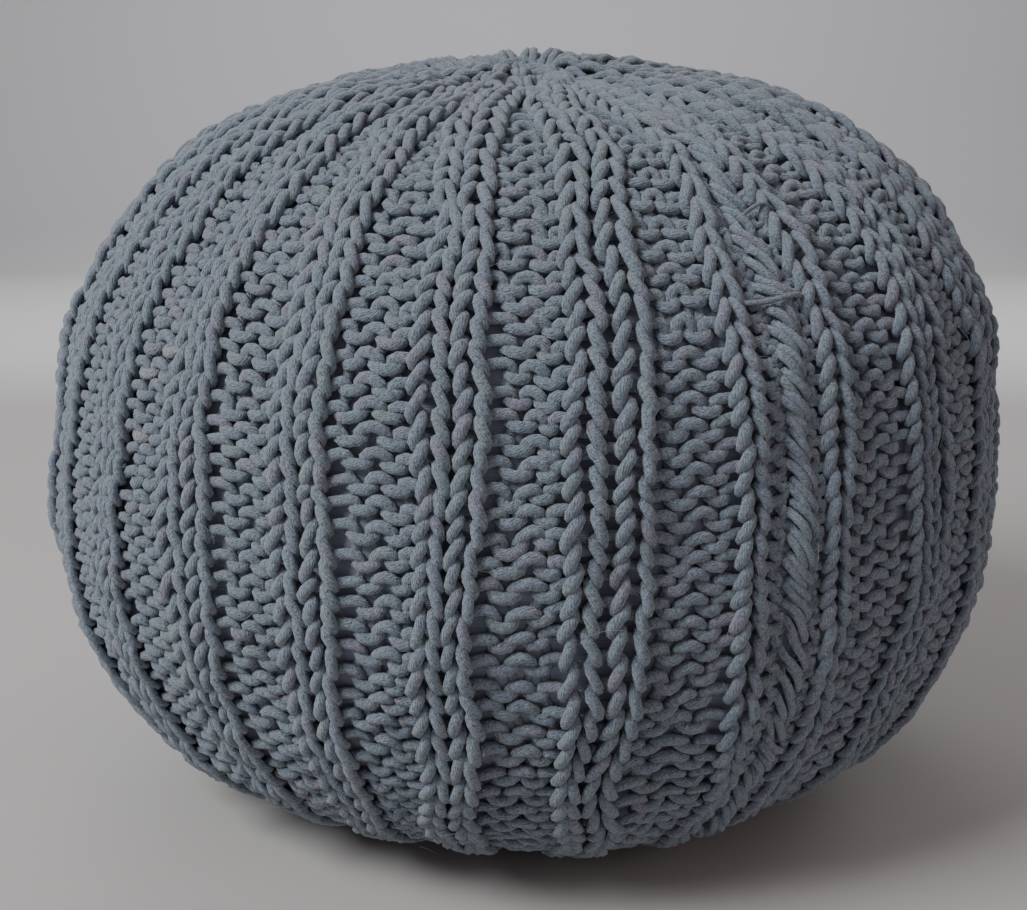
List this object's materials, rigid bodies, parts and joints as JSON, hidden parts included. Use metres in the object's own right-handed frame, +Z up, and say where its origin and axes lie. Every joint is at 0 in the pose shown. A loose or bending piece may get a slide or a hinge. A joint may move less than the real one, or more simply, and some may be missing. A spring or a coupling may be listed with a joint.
{
  "type": "knitted pouf",
  "caption": "Round floor pouf with a rib-knitted cotton-cord cover, gathered at the top, over a filled cloth casing.",
  "frame": {"origin": "on the floor, below the middle of the pouf", "axes": "+Z up through the gathered top, -Y towards the front, with the sewn seam of the cover on the +X side of the front"},
  "size_m": [0.4993, 0.4989, 0.3791],
  "materials": {
    "cotton_cord": "soft matt blue-grey cotton cord, 5 mm thick, hand knitted in rib",
    "casing_cloth": "plain-woven blue-grey cotton cloth, seen through the gaps of the knit"
  },
  "bodies": {
    "root": {"knitted_cover": "cotton_cord", "inner_casing": "casing_cloth"}
  },
  "joints": []
}
